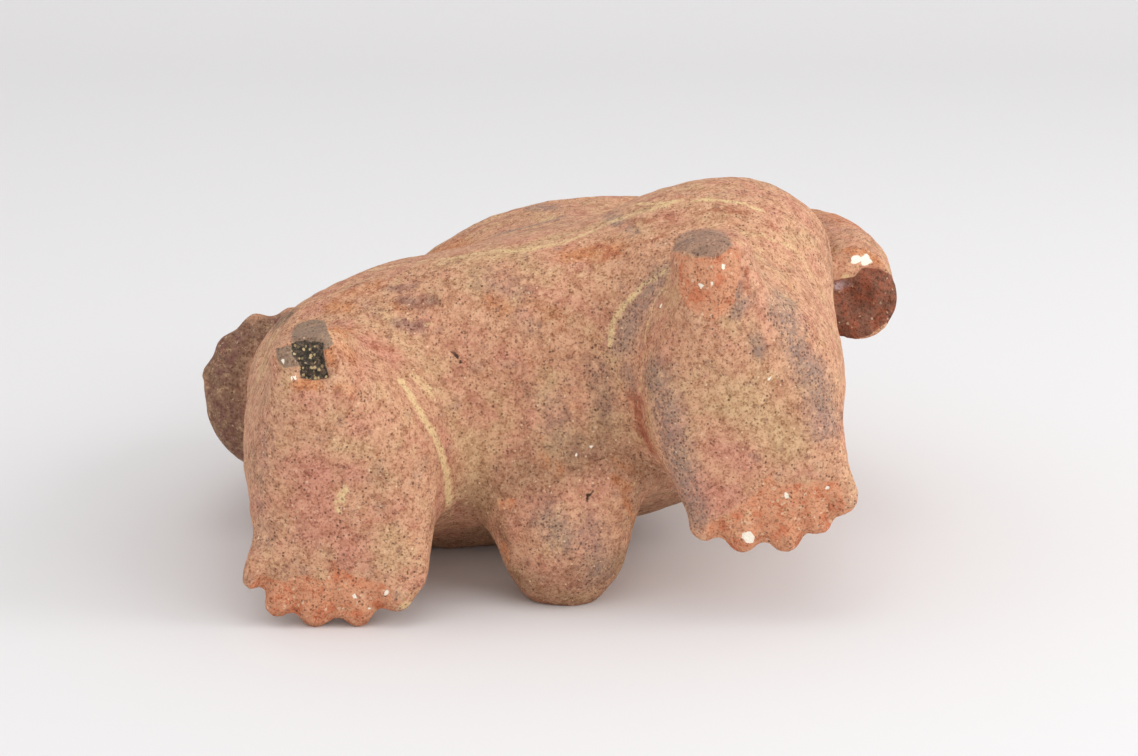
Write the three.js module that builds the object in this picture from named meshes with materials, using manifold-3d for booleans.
// A bulky hand-built clay figure of a person, lying face down on its front, in millimetres, +Z up.
// +Y runs from the soles of the feet to the crown of the head and +X is the figure's right hand side.
// The clay is one fired piece. Its form is written as one distance field made of soft rounded forms,
// the field is turned into a closed skin, and the floor flattens the four places it rests on.
import * as THREE from "three";
import Module from "manifold-3d";

// Driving dimensions. The body frame is (across, along, rise): across to the figure's right, along
// from the soles to the crown, rise from the belly to the back. It is rolled, so the right side is high.
const ROLL = THREE.MathUtils.degToRad(12);
const AXIS_X = -9;
const AXIS_HEIGHT = 64;

// Trunk: [along, half width, rise of the back, rise of the front, squareness of the section]
const TRUNK = [
  [30, 74, 47, -35, 3],
  [62, 92, 54, -43, 2.9],
  [95, 93, 52, -59.5, 2.8],
  [132, 79, 44, -60.5, 2.5],
  [168, 73, 41, -57, 2.2],
  [202, 77, 42, -50, 2.1],
  [232, 64, 33, -42, 2],
];
const CROTCH_ROUNDING = 34;
const SHOULDER_ROUNDING = 26;
// The shoulders are twisted on the hips, so the left shoulder sits lower.
const SHOULDER_TWIST = { angle: THREE.MathUtils.degToRad(6), from: 110, to: 200 };

// Legs: they are short, and their soles face the feet end. Sole: [rise, half width, sole, depth]
const HIP_SPREAD = 66;
const SOLE = [
  [38, 12, 5, 46],
  [27, 22, 3, 50],
  [10, 30.5, 1.5, 54],
  [-6, 33, 1, 51],
  [-18, 31, 1, 38],
  [-30, 29, 1, 23],
  [-40, 28, 1.5, 13],
  [-50, 27, 3, 10],
];
const SOLE_SQUARENESS = 3.4;
const HEEL_SQUARENESS = 2.6;
const SPLAY = { left: 12, right: 4 };
const HEEL = {
  radius: 13.2, depth: 30, low: -6,
  top: { left: 49, right: 53 },
  spread: { left: 69, right: 66 },
};
// The spall that took the skin off the left heel
const CHIP = { centre: [-66, -2, 39], radii: [9, 6, 11] };
const THIGH = { centre: [67, 50, 4], radii: [33, 40, 36] };
// Buttocks: centre [across, along, rise] and radii
const BUTTOCK = {
  left: { centre: [-58, 82, 16], radii: [38, 42, 29] },
  right: { centre: [66, 82, 29], radii: [41, 42, 30] },
};
// Toes of each foot: [across, rise of the end, radius]
const TOES = {
  left: [[-104.5, -31, 3.6], [-97.5, -42, 4.8], [-86, -48, 5], [-72, -51.6, 4.5], [-58.5, -48.5, 5]],
  right: [[46.5, -46, 5], [57.5, -52, 6], [71.5, -54.8, 5.4], [83.4, -51, 4.6], [92.6, -46, 4.4]],
};
const TOE_REACH = 4.5;
const TOE_DEPTH = 6;
const TOE_LENGTH = 15;
const TOE_TURN = 0.2;

// Stub below the crotch, a third support: [height, half width, distance along the body]
const STUB_X = -2;
const STUB = [
  [-5, 6, 34],
  [0, 11, 33],
  [4, 15, 33],
  [10, 19, 33],
  [18, 22, 33.5],
  [28, 24, 34.5],
  [42, 24, 38],
  [58, 20, 47],
];
const STUB_FLATNESS = 1.35;

// Arms: shoulder, upper arm, elbow, forearm and wrist as [across, along, rise, radius]
const ARM = [
  [70, 206, 1, 25],
  [93, 190, 3, 21],
  [107, 160, 7, 18],
  [113, 126, 7, 17],
  [115, 90, 2, 14.5],
];
const ARM_STEPS = 9;
const ARM_SPREAD = { left: 0.94, right: 1 };
const LEFT_WRIST = 104;
// The right hand is lost: the break crosses the wrist, leans with the arm and is rough.
const RIGHT_BREAK = { along: 96, lean: 0.22, rough: 1.4, lump: 3.4 };
const HAND_CENTRE = [-96, 103, 9];
const HAND_RADII = [27.5, 10, 30];
// Finger ends of the left hand: [across, rise]
const FINGER_ENDS = [[-83, 41], [-99.5, 41.5], [-113, 35], [-122, 24.5]];
const FINGER = { radius: 5, swell: 2, root: 0.45 };

// Head, with its own slight roll and nod. Its frame is (across, crown, face).
const HEAD_CENTRE = [4, 285, 41.8];
const HEAD_ROLL = THREE.MathUtils.degToRad(-1);
const HEAD_NOD = THREE.MathUtils.degToRad(10);
const SKULL = { centre: [0, 6, -6], radii: [45, 42, 40] };
const JAW = { centre: [0, -20, 4], radii: [35, 27, 31] };
const NECK = { foot: [0, -62, -2], top: [0, -20, -2], radii: [34, 30] };
// The hair is a close cap: its edge runs from the hairline over the ears to the nape.
const HAIR = { thickness: 3.2, hairline: 14, slope: 0.2, nape: -34 };
const EYE = { centre: [17, 1, 31.5], radii: [9, 5, 5] };
const BROW = { inner: [5, 14, 35.5], outer: [27, 11, 28], radius: 5.5 };
const NOSE = { bridge: [0, 8, 34], tip: [0, -14, 39], radii: [4, 7] };
const LIP = { crown: -27, gap: 2.8, middle: 32, corner: [12, 27], radii: [3.6, 1.8] };
const EAR = { centre: [44, -5, -6], radii: [6, 14, 9] };
const NEAR_FACE = 20;

// How widely two forms run into each other
const BLEND = {
  leg: 16, thigh: 14, buttock: 20, heel: 10, heelTop: 7, heelFoot: 24, toes: 3, stub: 14,
  arm: 9, wrist: 8, hand: 5, head: 14, jaw: 18, feature: 4, break: 1.2,
};

// The surface is a little uneven, from the hands that shaped it.
const UNEVEN = { depth: 0.6, lump: 12 };

// Skin: the space it is looked for in, the grid, and how it is thinned to a wanted number of triangles
const SPACE = { low: [-150, -14, -12], high: [140, 345, 152] };
const GRID = 3;
const BLOCK = 5;
const NEAR_END = 0.02;
const TRIANGLES = 9400;
const EVENNESS = 2e-3;
const STEADYING = 1e-3;
const LEAST_TURN = 0.3;
const FLOOR_DEPTH = 60;

// Sums and blends of distances
const mix = (a, b, t) => a + (b - a) * t;
const clamp = (v, low, high) => Math.min(Math.max(v, low), high);

function softUnion(a, b, blend) {
  const h = Math.max(blend - Math.abs(a - b), 0) / blend;
  return Math.min(a, b) - (h * h * blend) / 4;
}

function softCut(a, b, blend) {
  return -softUnion(-a, b, blend);
}

// Values of a row of stations at a place, on a smooth curve through them.
function station(rows, at) {
  const last = rows.length - 1;
  const up = rows[0][0] < rows[last][0] ? 1 : -1;
  let i = 0;
  while (i < last - 1 && at * up > rows[i + 1][0] * up) i += 1;
  const [a, b] = [rows[i], rows[i + 1]];
  const [before, after] = [rows[Math.max(i - 1, 0)], rows[Math.min(i + 2, last)]];
  const span = b[0] - a[0];
  const t = clamp((at - a[0]) / span, 0, 1);
  const values = [];
  for (let c = 1; c < a.length; c += 1) {
    const slopeA = ((b[c] - before[c]) / (b[0] - before[0])) * span;
    const slopeB = ((after[c] - a[c]) / (after[0] - a[0])) * span;
    const drop = a[c] - b[c];
    const square = -3 * drop - 2 * slopeA - slopeB;
    const cube = 2 * drop + slopeA + slopeB;
    values.push(a[c] + t * (slopeA + t * (square + t * cube)));
  }
  return values;
}

function ellipsoid(point, centre, radii) {
  let near = 0;
  let steep = 0;
  for (let i = 0; i < 3; i += 1) {
    const q = (point[i] - centre[i]) / radii[i];
    near += q * q;
    steep += (q / radii[i]) ** 2;
  }
  const size = Math.sqrt(near);
  return steep === 0 ? -Math.min(...radii) : (size * (size - 1)) / Math.sqrt(steep);
}

// A round bar between two points that tapers from one radius to another.
function bar(point, a, b, radiusA, radiusB) {
  const [dx, dy, dz] = [b[0] - a[0], b[1] - a[1], b[2] - a[2]];
  const along = (point[0] - a[0]) * dx + (point[1] - a[1]) * dy + (point[2] - a[2]) * dz;
  const t = clamp(along / (dx * dx + dy * dy + dz * dz), 0, 1);
  const gap = Math.hypot(point[0] - a[0] - dx * t, point[1] - a[1] - dy * t, point[2] - a[2] - dz * t);
  return gap - mix(radiusA, radiusB, t);
}

// A section between a circle (squareness 2) and a square, by its half sizes.
function section(u, v, halfU, halfV, squareness) {
  const q = Math.abs(u / halfU) ** squareness + Math.abs(v / halfV) ** squareness;
  return (q ** (1 / squareness) - 1) * Math.min(halfU, halfV);
}

// The sub-forms, in the body frame
function trunk([across, along, rise]) {
  const { angle, from, to } = SHOULDER_TWIST;
  const twist = angle * clamp((along - from) / (to - from), 0, 1);
  const u = across * Math.cos(twist) + rise * Math.sin(twist);
  const w = -across * Math.sin(twist) + rise * Math.cos(twist);
  const [half, back, front, squareness] = station(TRUNK, along);
  const side = section(u, w - (back + front) / 2, half, (back - front) / 2, squareness);
  const closedBelow = softCut(side, along - TRUNK[0][0], CROTCH_ROUNDING);
  return softCut(closedBelow, TRUNK[TRUNK.length - 1][0] - along, SHOULDER_ROUNDING);
}

// The line that the toe ends follow, at a place across the foot.
function toeLine(side, across) {
  const toes = TOES[side];
  let i = 0;
  while (i < toes.length - 2 && across > toes[i + 1][0]) i += 1;
  const t = clamp((across - toes[i][0]) / (toes[i + 1][0] - toes[i][0]), 0, 1);
  return mix(toes[i][1], toes[i + 1][1], t);
}

function foot(point, side) {
  const [across, along, rise] = point;
  const sign = side === "left" ? -1 : 1;
  const [half, sole, depth] = station(SOLE, rise);
  const down = clamp((SOLE[0][0] - rise) / (SOLE[0][0] - SOLE[SOLE.length - 1][0]), 0, 1);
  const centre = sign * (HIP_SPREAD + SPLAY[side] * down * down);
  let form = section(across - centre, along - sole - depth / 2, half, depth / 2, SOLE_SQUARENESS);
  form = softCut(form, SOLE[0][0] - rise, BLEND.heel);
  form = softCut(form, rise - toeLine(side, across) - TOE_REACH, BLEND.toes);
  for (const [toeAcross, toeRise, radius] of TOES[side]) {
    const tip = [toeAcross, TOE_DEPTH, toeRise + radius];
    const root = [mix(toeAcross, centre, TOE_TURN), TOE_DEPTH + 2, toeRise + TOE_LENGTH];
    form = softUnion(form, bar(point, tip, root, radius, radius + 0.5), BLEND.toes);
  }
  return form;
}

function leg(point, side) {
  const [across, along, rise] = point;
  const sign = side === "left" ? -1 : 1;
  const { radius, depth, low, top, spread } = HEEL;
  const inward = across - sign * spread[side];
  const rounded = section(inward, along - depth / 2, radius, depth / 2 - 1, HEEL_SQUARENESS);
  let heel = softCut(softCut(rounded, top[side] - rise, BLEND.heelTop), rise - low, BLEND.heelFoot);
  if (side === "left") heel = softCut(heel, ellipsoid(point, CHIP.centre, CHIP.radii), BLEND.break);
  const thigh = ellipsoid([sign * across, along, rise], THIGH.centre, THIGH.radii);
  const { centre, radii } = BUTTOCK[side];
  const hip = softUnion(thigh, ellipsoid(point, centre, radii), BLEND.buttock);
  return softUnion(softUnion(foot(point, side), heel, BLEND.heel), hip, BLEND.thigh);
}

// The middle line of the arm, as points with a radius.
const armCurve = new THREE.CatmullRomCurve3(ARM.map(([x, y, z]) => new THREE.Vector3(x, y, z)));
const armLine = Array.from({ length: ARM_STEPS + 1 }, (_, i) => {
  const t = (i / ARM_STEPS) * (ARM.length - 1);
  const k = Math.min(Math.floor(t), ARM.length - 2);
  const place = armCurve.getPoint(i / ARM_STEPS).toArray();
  return { place, radius: mix(ARM[k][3], ARM[k + 1][3], t - k) };
});

function arm(point, side) {
  const [across, along, rise] = point;
  const mirrored = [Math.abs(across) / ARM_SPREAD[side], along, rise];
  let form = Infinity;
  for (let i = 0; i < ARM_STEPS; i += 1) {
    const [a, b] = [armLine[i], armLine[i + 1]];
    form = Math.min(form, bar(mirrored, a.place, b.place, a.radius, b.radius));
  }
  if (side === "left") return softCut(form, along - LEFT_WRIST, BLEND.wrist);
  const { lean, rough, lump } = RIGHT_BREAK;
  const bump = Math.sin(across / lump) * Math.sin(rise / lump);
  return softCut(form, along - RIGHT_BREAK.along - lean * rise - rough * bump, BLEND.break);
}

function leftHand(point) {
  let form = ellipsoid(point, HAND_CENTRE, HAND_RADII);
  for (const [across, rise] of FINGER_ENDS) {
    const [dx, dz] = [across - HAND_CENTRE[0], rise - HAND_CENTRE[2]];
    const reach = 1 - FINGER.radius / Math.hypot(dx, dz);
    const tip = [HAND_CENTRE[0] + dx * reach, HAND_CENTRE[1], HAND_CENTRE[2] + dz * reach];
    const root = [HAND_CENTRE[0] + dx * FINGER.root, HAND_CENTRE[1], HAND_CENTRE[2] + dz * FINGER.root];
    form = softUnion(form, bar(point, tip, root, FINGER.radius, FINGER.radius + FINGER.swell), BLEND.toes);
  }
  return form;
}

function stub([x, y, z]) {
  const [half, middle] = station(STUB, z);
  const side = Math.hypot(x - STUB_X, (y - middle) * STUB_FLATNESS) - half;
  const [[bottom], [top]] = [STUB[0], STUB[STUB.length - 1]];
  return softCut(Math.max(side, bottom - z), top - z, BLEND.stub);
}

function head(world) {
  const [x, y, z] = world.map((v, i) => v - HEAD_CENTRE[i]);
  const across = x * Math.cos(HEAD_ROLL) + z * Math.sin(HEAD_ROLL);
  const level = -x * Math.sin(HEAD_ROLL) + z * Math.cos(HEAD_ROLL);
  const crown = y * Math.cos(HEAD_NOD) - level * Math.sin(HEAD_NOD);
  const face = -y * Math.sin(HEAD_NOD) - level * Math.cos(HEAD_NOD);
  const point = [across, crown, face];
  const mirrored = [Math.abs(across), crown, face];
  const skull = ellipsoid(point, SKULL.centre, SKULL.radii);
  let form = softUnion(skull, ellipsoid(point, JAW.centre, JAW.radii), BLEND.jaw);
  form = softUnion(form, bar(point, NECK.foot, NECK.top, ...NECK.radii), BLEND.head);
  const edge = Math.max(face - HAIR.hairline + crown * HAIR.slope, HAIR.nape - crown);
  form = softUnion(form, softCut(form - HAIR.thickness, -edge, BLEND.feature), BLEND.feature);
  if (form > NEAR_FACE) return form;
  form = softUnion(form, ellipsoid(mirrored, EAR.centre, EAR.radii), BLEND.feature);
  form = softUnion(form, bar(mirrored, BROW.inner, BROW.outer, BROW.radius, BROW.radius), BLEND.feature);
  form = softUnion(form, bar(point, NOSE.bridge, NOSE.tip, ...NOSE.radii), BLEND.feature);
  form = softUnion(form, ellipsoid(mirrored, EYE.centre, EYE.radii), BLEND.feature / 2);
  for (const gap of [LIP.gap, -LIP.gap]) {
    const middle = [0, LIP.crown + gap, LIP.middle];
    const corner = [LIP.corner[0], LIP.crown + gap / 3, LIP.corner[1]];
    form = softUnion(form, bar(mirrored, middle, corner, ...LIP.radii), BLEND.feature / 2);
  }
  return form;
}

function clay(x, y, z) {
  const turnedX = x - AXIS_X;
  const turnedZ = z - AXIS_HEIGHT;
  const across = turnedX * Math.cos(ROLL) + turnedZ * Math.sin(ROLL);
  const rise = -turnedX * Math.sin(ROLL) + turnedZ * Math.cos(ROLL);
  const point = [across, y, rise];
  let form = trunk(point);
  const side = across < 0 ? "left" : "right";
  form = softUnion(form, leg(point, side), BLEND.leg);
  form = softUnion(form, stub([x, y, z]), BLEND.stub);
  form = softUnion(form, arm(point, side), BLEND.arm);
  form = softUnion(form, leftHand(point), BLEND.hand);
  form = softUnion(form, head([x, y, z]), BLEND.head);
  const { depth, lump } = UNEVEN;
  return form + depth * Math.sin(x / lump + 1) * Math.sin(y / lump) * Math.sin(z / lump + 2);
}

// The closed skin of the field, from the tetrahedra of a regular grid. Blocks of the grid that lie
// far from the skin take one value, and a crossing keeps clear of the grid's own points.
const CORNERS = [0, 1, 2, 3, 4, 5, 6, 7].map((i) => [i & 1, (i >> 1) & 1, (i >> 2) & 1]);
const TETRAHEDRA = [[1, 2], [1, 4], [2, 1], [2, 4], [4, 1], [4, 2]].map(([a, b]) => [0, a, a + b, 7]);

function skin(field, low, high, step) {
  const counts = low.map((v, i) => Math.ceil((high[i] - v) / step) + 1);
  const index = (i, j, k) => (k * counts[1] + j) * counts[0] + i;
  const place = (n) => [
    low[0] + (n % counts[0]) * step,
    low[1] + (Math.floor(n / counts[0]) % counts[1]) * step,
    low[2] + Math.floor(n / (counts[0] * counts[1])) * step,
  ];
  const values = new Float64Array(counts[0] * counts[1] * counts[2]);
  const reach = BLOCK * step * 1.5;
  for (let k = 0; k < counts[2]; k += 1) {
    for (let j = 0; j < counts[1]; j += 1) {
      for (let i = 0; i < counts[0]; i += 1) {
        const first = [i, j, k].map((v) => v - (v % BLOCK));
        const owner = index(...first);
        const n = index(i, j, k);
        const far = n !== owner && Math.abs(values[owner]) > reach;
        values[n] = far ? values[owner] : field(...place(n));
      }
    }
  }
  const points = [];
  const faces = [];
  const made = new Map();
  const crossing = (a, b) => {
    const key = Math.min(a, b) * values.length + Math.max(a, b);
    if (!made.has(key)) {
      const t = clamp(values[a] / (values[a] - values[b]), NEAR_END, 1 - NEAR_END);
      const [p, q] = [place(a), place(b)];
      made.set(key, points.push(p.map((v, i) => mix(v, q[i], t))) - 1);
    }
    return made.get(key);
  };
  const addFace = (ids, outward) => {
    const [a, b, c] = ids.map((id) => new THREE.Vector3(...points[id]));
    const normal = b.sub(a).cross(c.sub(a));
    faces.push(normal.dot(outward) > 0 ? ids : [ids[0], ids[2], ids[1]]);
  };
  for (let k = 0; k + 1 < counts[2]; k += 1) {
    for (let j = 0; j + 1 < counts[1]; j += 1) {
      for (let i = 0; i + 1 < counts[0]; i += 1) {
        const cube = CORNERS.map(([a, b, c]) => index(i + a, j + b, k + c));
        const insideCount = cube.filter((n) => values[n] < 0).length;
        if (insideCount === 0 || insideCount === 8) continue;
        for (const tetra of TETRAHEDRA) {
          const ids = tetra.map((corner) => cube[corner]);
          const inside = ids.filter((n) => values[n] < 0);
          const outside = ids.filter((n) => values[n] >= 0);
          if (!inside.length || !outside.length) continue;
          const outward = new THREE.Vector3();
          for (const n of ids) {
            const share = values[n] < 0 ? -1 / inside.length : 1 / outside.length;
            outward.addScaledVector(new THREE.Vector3(...place(n)), share);
          }
          if (inside.length === 2) {
            const [a, b, c, d] = [
              crossing(inside[0], outside[0]),
              crossing(inside[0], outside[1]),
              crossing(inside[1], outside[1]),
              crossing(inside[1], outside[0]),
            ];
            addFace([a, b, c], outward);
            addFace([a, c, d], outward);
          } else {
            const [lone, others] = inside.length === 1 ? [inside[0], outside] : [outside[0], inside];
            addFace(others.map((n) => crossing(lone, n)), outward);
          }
        }
      }
    }
  }
  return { points, faces };
}

// A heap of edges, the one that changes the form least on top.
class EdgeHeap {
  constructor() {
    this.items = [];
  }

  push(item) {
    const { items } = this;
    let i = items.push(item) - 1;
    while (i > 0 && items[(i - 1) >> 1].cost > item.cost) {
      items[i] = items[(i - 1) >> 1];
      i = (i - 1) >> 1;
    }
    items[i] = item;
  }

  pop() {
    const { items } = this;
    const top = items[0];
    const item = items.pop();
    let i = 0;
    while (items.length && 2 * i + 1 < items.length) {
      let child = 2 * i + 1;
      if (child + 1 < items.length && items[child + 1].cost < items[child].cost) child += 1;
      if (items[child].cost >= item.cost) break;
      items[i] = items[child];
      i = child;
    }
    if (items.length) items[i] = item;
    return top;
  }
}

// Thins a closed skin to a wanted number of triangles: flat stretches get few, sharp forms keep many.
function thinned({ points, faces }, wanted) {
  const position = points.map((p) => new THREE.Vector3(...p));
  const around = position.map(() => new Set());
  const sums = position.map(() => new Float64Array(10));
  const stamp = new Int32Array(points.length);
  const alive = faces.map((ids) => ids.slice());
  let left = alive.length;
  const normalOf = (a, b, c) => b.clone().sub(a).cross(c.clone().sub(a));
  alive.forEach((ids, f) => {
    const [a, b, c] = ids.map((id) => position[id]);
    const normal = normalOf(a, b, c);
    const area = normal.length() / 2;
    normal.normalize();
    const plane = [normal.x, normal.y, normal.z, -normal.dot(a)];
    ids.forEach((id) => {
      around[id].add(f);
      let n = 0;
      for (let i = 0; i < 4; i += 1) {
        for (let j = i; j < 4; j += 1) {
          sums[id][n] += area * plane[i] * plane[j];
          n += 1;
        }
      }
    });
  });
  const misfit = (q, p) =>
    q[0] * p.x * p.x + 2 * q[1] * p.x * p.y + 2 * q[2] * p.x * p.z + 2 * q[3] * p.x +
    q[4] * p.y * p.y + 2 * q[5] * p.y * p.z + 2 * q[6] * p.y +
    q[7] * p.z * p.z + 2 * q[8] * p.z + q[9];
  const heap = new EdgeHeap();
  const offer = (a, b) => {
    const q = sums[a].map((v, i) => v + sums[b][i]);
    const middle = position[a].clone().lerp(position[b], 0.5);
    const hold = STEADYING * (q[0] + q[4] + q[7]);
    const matrix = new THREE.Matrix3().set(
      q[0] + hold, q[1], q[2],
      q[1], q[4] + hold, q[5],
      q[2], q[5], q[7] + hold,
    );
    const target = new THREE.Vector3(-q[3], -q[6], -q[8]).addScaledVector(middle, hold);
    target.applyMatrix3(matrix.invert());
    const cost = misfit(q, target) + EVENNESS * position[a].distanceToSquared(position[b]);
    heap.push({ a, b, target, cost, stampA: stamp[a], stampB: stamp[b] });
  };
  const neighbours = (v) => {
    const found = new Set();
    for (const f of around[v]) for (const id of alive[f]) if (id !== v) found.add(id);
    return found;
  };
  const wouldFlip = (v, other, target) => {
    for (const f of around[v]) {
      if (alive[f].includes(other)) continue;
      const before = alive[f].map((id) => position[id]);
      const after = alive[f].map((id) => (id === v ? target : position[id]));
      const [n, m] = [normalOf(...before), normalOf(...after)];
      if (n.dot(m) < LEAST_TURN * n.length() * m.length()) return true;
    }
    return false;
  };
  position.forEach((_, v) => {
    for (const n of neighbours(v)) if (v < n) offer(v, n);
  });
  while (left > wanted && heap.items.length) {
    const { a, b, target, stampA, stampB } = heap.pop();
    if (stamp[a] !== stampA || stamp[b] !== stampB) continue;
    const [nearA, nearB] = [neighbours(a), neighbours(b)];
    const shared = [...nearA].filter((v) => nearB.has(v)).length;
    if (shared !== 2 || wouldFlip(a, b, target) || wouldFlip(b, a, target)) continue;
    for (const f of around[b]) {
      if (alive[f].includes(a)) {
        for (const id of alive[f]) if (id !== b) around[id].delete(f);
        alive[f] = null;
        left -= 1;
      } else {
        alive[f] = alive[f].map((id) => (id === b ? a : id));
        around[a].add(f);
      }
    }
    around[b].clear();
    position[a].copy(target);
    sums[b].forEach((v, i) => {
      sums[a][i] += v;
    });
    stamp[a] += 1;
    stamp[b] += 1;
    for (const n of neighbours(a)) offer(a, n);
  }
  return { position, faces: alive.filter(Boolean) };
}

const wasm = await Module();
wasm.setup();

function solid(vertProperties, triVerts) {
  return new wasm.Manifold(new wasm.Mesh({ numProp: 3, vertProperties, triVerts }));
}

function boxSolid(low, high) {
  const corners = CORNERS.flatMap((c) => c.map((side, i) => (side ? high[i] : low[i])));
  const squares = [[0, 2, 3, 1], [4, 5, 7, 6], [0, 1, 5, 4], [2, 6, 7, 3], [0, 4, 6, 2], [1, 3, 7, 5]];
  const triangles = squares.flatMap(([a, b, c, d]) => [a, b, c, a, c, d]);
  return solid(new Float32Array(corners), new Uint32Array(triangles));
}

// Everything below the floor is pressed flat: toe ends, stub, belly edge and brow.
function figureGeometry() {
  const { position, faces } = thinned(skin(clay, SPACE.low, SPACE.high, GRID), TRIANGLES);
  const used = new Map();
  const vertices = [];
  for (const id of faces.flat()) {
    if (!used.has(id)) {
      used.set(id, used.size);
      vertices.push(...position[id].toArray());
    }
  }
  const body = solid(new Float32Array(vertices), new Uint32Array(faces.flat().map((id) => used.get(id))));
  const floor = boxSolid([SPACE.low[0], SPACE.low[1], -FLOOR_DEPTH], [SPACE.high[0], SPACE.high[1], 0]);
  const rested = body.subtract(floor).getMesh();
  const form = new THREE.BufferGeometry();
  form.setAttribute("position", new THREE.BufferAttribute(new Float32Array(rested.vertProperties), 3));
  form.setIndex(new THREE.BufferAttribute(new Uint32Array(rested.triVerts), 1));
  form.computeVertexNormals();
  return form;
}

const firedClay = new THREE.MeshStandardMaterial({ color: 0xa8694a, roughness: 0.9, metalness: 0 });

// The origin lies on the floor, under the middle of the figure.
const geometry = figureGeometry();
geometry.computeBoundingBox();
const middle = geometry.boundingBox.getCenter(new THREE.Vector3());

const clayFigure = new THREE.Mesh(geometry, firedClay);
clayFigure.name = "clay_figure";
clayFigure.position.set(-middle.x, -middle.y, 0);

const figure = new THREE.Group();
figure.add(clayFigure);

export default figure;
